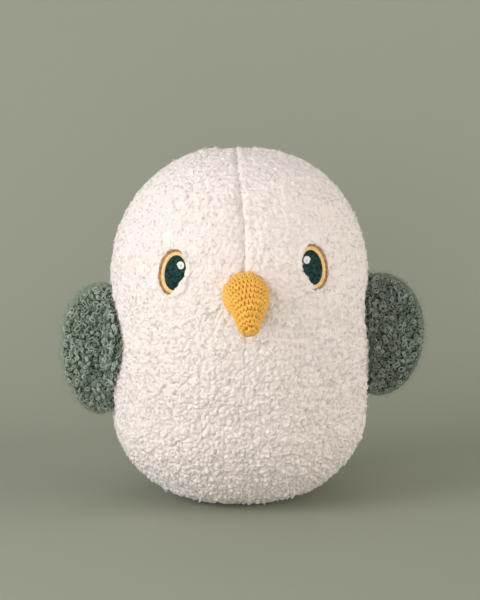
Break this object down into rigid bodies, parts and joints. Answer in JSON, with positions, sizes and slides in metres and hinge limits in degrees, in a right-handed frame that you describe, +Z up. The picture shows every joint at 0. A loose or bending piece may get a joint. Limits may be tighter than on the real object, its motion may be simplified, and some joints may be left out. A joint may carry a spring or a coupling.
{
  "type": "plush owl",
  "caption": "Egg-shaped stuffed owl with a curly pile cover, a drooping crocheted beak, stitched eyes and stuffed wings that flap on their side seams.",
  "frame": {"origin": "centre of the flat place under the base that the owl stands on", "axes": "+Z up, -Y the way the owl faces, +X the owl's own left side"},
  "size_m": [0.2877, 0.2207, 0.28],
  "materials": {
    "body_pile_front": "matte",
    "body_pile_back": "matte",
    "wadding": "matte",
    "beak_yarn": "matte",
    "wing_boucle": "matte",
    "pupil_thread": "satin",
    "iris_thread": "satin",
    "rim_thread": "satin",
    "glint_thread": "satin"
  },
  "bodies": {
    "body": {"front_panel_left": "body_pile_front", "front_panel_right": "body_pile_front", "back_panel_left": "body_pile_back", "back_panel_right": "body_pile_back", "base_panel": "body_pile_back", "body_filling": "wadding", "beak_cover": "beak_yarn", "beak_filling": "wadding", "left_eye_pupil": "pupil_thread", "left_eye_iris": "iris_thread", "left_eye_rim": "rim_thread", "left_eye_glint": "glint_thread", "right_eye_pupil": "pupil_thread", "right_eye_iris": "iris_thread", "right_eye_rim": "rim_thread", "right_eye_glint": "glint_thread"},
    "left_wing": {"left_wing_front_panel": "wing_boucle", "left_wing_back_panel": "wing_boucle", "left_wing_filling": "wadding"},
    "right_wing": {"right_wing_front_panel": "wing_boucle", "right_wing_back_panel": "wing_boucle", "right_wing_filling": "wadding"}
  },
  "joints": [
    {"name": "left_wing_flap", "type": "hinge", "parent": "body", "child": "left_wing", "pos_m": [0.10462, -0.01211, 0.1335], "axis": [0, 0, -1], "range_deg": [-30, 30], "stiffness_Nm_per_rad": 0.02},
    {"name": "right_wing_flap", "type": "hinge", "parent": "body", "child": "right_wing", "pos_m": [-0.10462, -0.01211, 0.1235], "axis": [0, 0, 1], "range_deg": [-30, 30], "stiffness_Nm_per_rad": 0.02}
  ]
}
